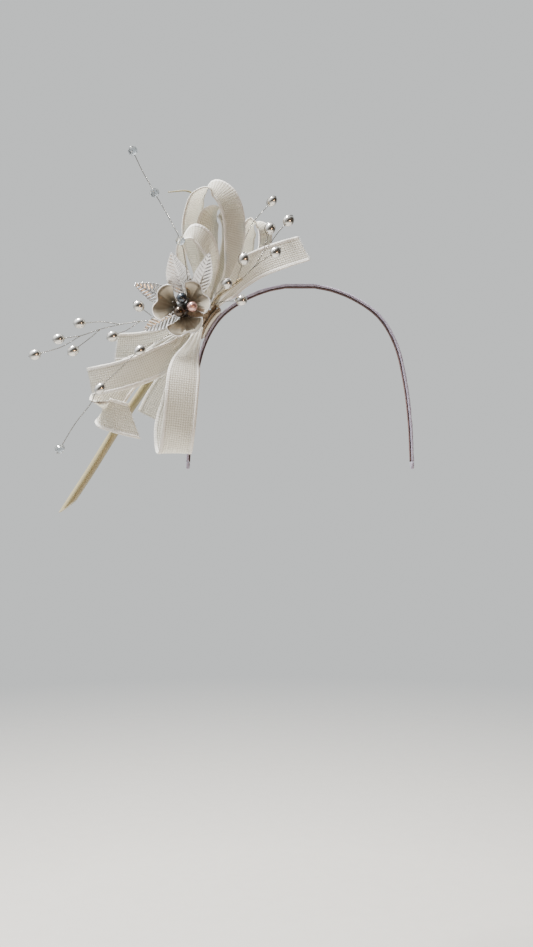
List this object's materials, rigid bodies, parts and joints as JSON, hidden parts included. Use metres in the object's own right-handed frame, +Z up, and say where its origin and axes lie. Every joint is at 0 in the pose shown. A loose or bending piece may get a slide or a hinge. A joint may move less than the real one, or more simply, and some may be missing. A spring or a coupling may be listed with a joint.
{
  "type": "fascinator headpiece",
  "caption": "Narrow satin head band carrying straw-cloth loops, a stripped quill, a metallic leaf flower and springy wire sprays of pearls and crystals.",
  "frame": {"origin": "middle of the band's inner face at the crown of the head", "axes": "+Z up out of the wearer's crown, +X towards the wearer's left ear, -Y the way the wearer faces"},
  "size_m": [0.2992, 0.1073, 0.2815],
  "materials": {
    "spring_steel": "cold-rolled spring strip",
    "satin": "lilac-grey satin ribbon, slight sheen",
    "velvet_lining": "very dark brown velvet ribbon",
    "felt": "pressed wool felt",
    "buckram": "stiffened open weave",
    "binding_thread": "wound waxed thread",
    "straw_cloth": "ivory woven abaca straw cloth, stiffened",
    "quill": "stripped feather shaft, horn-like, half gloss",
    "pressed_leaf": "pearlised silver, embossed veins",
    "petal": "smoky pearlised film with pale rims",
    "flower_cup": "dark lacquered calyx",
    "grey_pearl": "dark grey lustre",
    "bronze_pearl": "dark bronze lustre",
    "rose_pearl": "rose lustre",
    "pearl": "white pearl coating",
    "crystal": "cut glass, clear",
    "wire": "silvered wire, twisted in pairs"
  },
  "bodies": {
    "trim_and_left_band": {"band_core_left": "spring_steel", "band_satin_left": "satin", "band_lining_left": "velvet_lining", "band_tip_left": "satin", "base_felt": "felt", "base_plate": "buckram", "root_wrap": "binding_thread", "loop_top_outer": "straw_cloth", "loop_top_inner": "straw_cloth", "loop_top_small": "straw_cloth", "loop_back": "straw_cloth", "tail_right": "straw_cloth", "loop_left": "straw_cloth", "loop_down": "straw_cloth", "tail_lower_left": "straw_cloth", "tail_inner": "straw_cloth", "tail_upper_left": "straw_cloth", "feather_quill": "quill", "leaf_upper_left": "pressed_leaf", "leaf_upper_right": "pressed_leaf", "leaf_left": "pressed_leaf", "leaf_lower_left": "pressed_leaf", "petal_left": "petal", "petal_right": "petal", "petal_bottom": "petal", "flower_cup": "flower_cup", "bead_grey": "grey_pearl", "bead_bronze": "bronze_pearl", "bead_rose": "rose_pearl", "pearl_back": "pearl", "wire_back": "wire"},
    "spray_crystal": {"crystal_low": "crystal", "crystal_mid": "crystal", "crystal_top": "crystal", "wire_crystal": "wire"},
    "spray_right": {"pearl_right_1": "pearl", "pearl_right_2": "pearl", "pearl_right_3": "pearl", "pearl_right_4": "pearl", "pearl_right_5": "pearl", "pearl_right_6": "pearl", "wire_right": "wire"},
    "spray_left": {"pearl_left_1": "pearl", "pearl_left_2": "pearl", "pearl_left_3": "pearl", "pearl_left_4": "pearl", "pearl_left_5": "pearl", "pearl_left_6": "pearl", "wire_left": "wire"},
    "spray_lower": {"pearl_lower_1": "pearl", "pearl_lower_2": "pearl", "crystal_end": "crystal", "wire_lower": "wire"},
    "band_right": {"band_core_right": "spring_steel", "band_satin_right": "satin", "band_lining_right": "velvet_lining", "band_tip_right": "satin"}
  },
  "joints": [
    {"name": "band_flex", "type": "hinge", "parent": "trim_and_left_band", "child": "band_right", "pos_m": [0, 0, 0.0018], "axis": [0, 1, 0], "range_deg": [-10, 8], "stiffness_Nm_per_rad": 1.6},
    {"name": "bend_crystal", "type": "hinge", "parent": "trim_and_left_band", "child": "spray_crystal", "pos_m": [-0.085, -0.037, -0.015], "axis": [0, 1, 0], "range_deg": [-10, 12]},
    {"name": "bend_right", "type": "hinge", "parent": "trim_and_left_band", "child": "spray_right", "pos_m": [-0.07, -0.026, -0.018], "axis": [0, 1, 0], "range_deg": [-10, 10]},
    {"name": "bend_left", "type": "hinge", "parent": "trim_and_left_band", "child": "spray_left", "pos_m": [-0.0855, -0.026, -0.0255], "axis": [0, 1, 0], "range_deg": [-4, 12]},
    {"name": "bend_lower", "type": "hinge", "parent": "trim_and_left_band", "child": "spray_lower", "pos_m": [-0.087, -0.033, -0.0265], "axis": [0, 1, 0], "range_deg": [-10, 12]}
  ]
}
